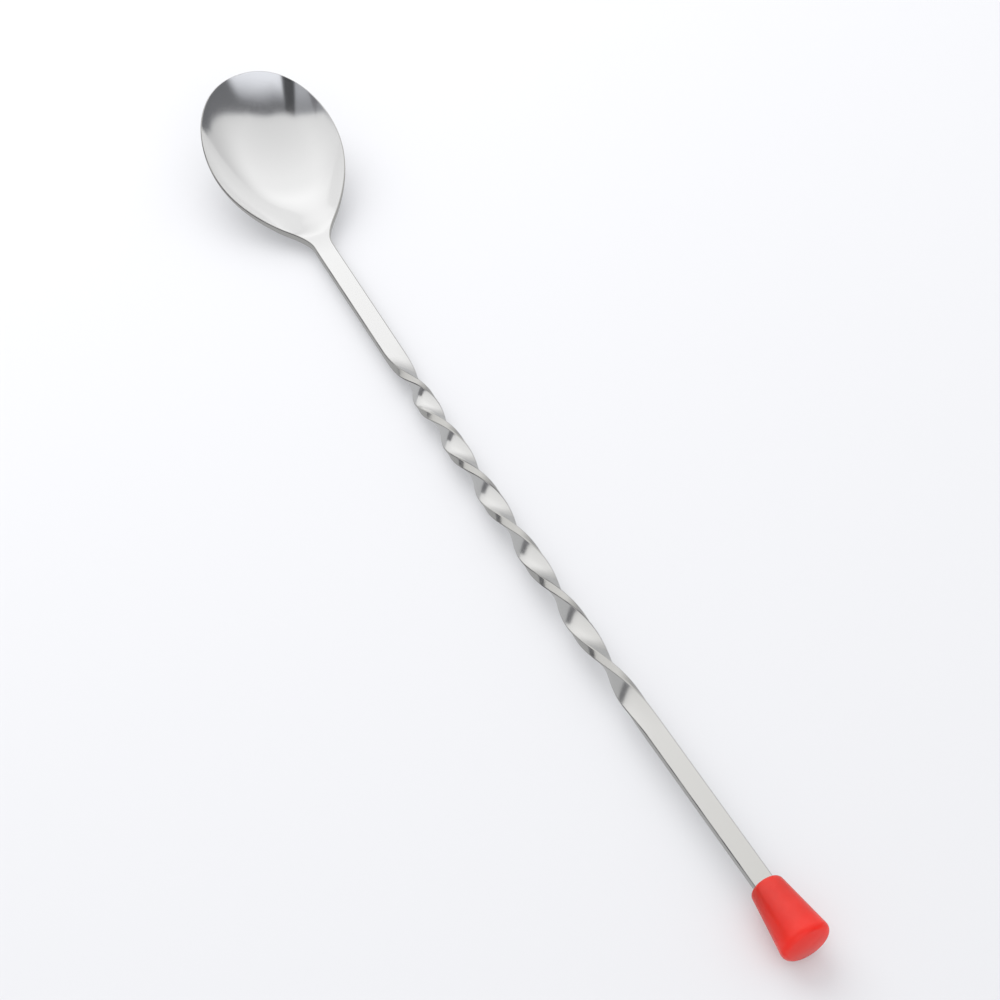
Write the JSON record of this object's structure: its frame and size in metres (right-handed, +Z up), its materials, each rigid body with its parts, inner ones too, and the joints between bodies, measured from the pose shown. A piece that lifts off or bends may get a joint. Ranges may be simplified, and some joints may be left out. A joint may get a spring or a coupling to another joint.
{
  "type": "twisted bar spoon",
  "caption": "Long bar spoon with an oval steel bowl, a flat strip shank twisted along its middle and a tapered red plastic knob pushed onto the tail.",
  "frame": {"origin": "on the table under the middle of the spoon's length", "axes": "+X along the stem towards the bowl tip, +Y to the left seen from the knob, +Z up, with the spoon lying on its bowl and its knob"},
  "size_m": [0.2802, 0.0346, 0.0194],
  "materials": {
    "steel": "stamped stainless steel, bright inside the bowl and lightly brushed along the strip",
    "red_plastic": "glossy, slightly translucent moulded plastic"
  },
  "bodies": {
    "spoon": {"spoon": "steel"},
    "knob": {"knob": "red_plastic"}
  },
  "joints": [
    {"name": "knob_pull", "type": "slide", "parent": "spoon", "child": "knob", "axis": [-0.9993, -0.034, 0.0162], "range_m": [0, 0.0155]}
  ]
}
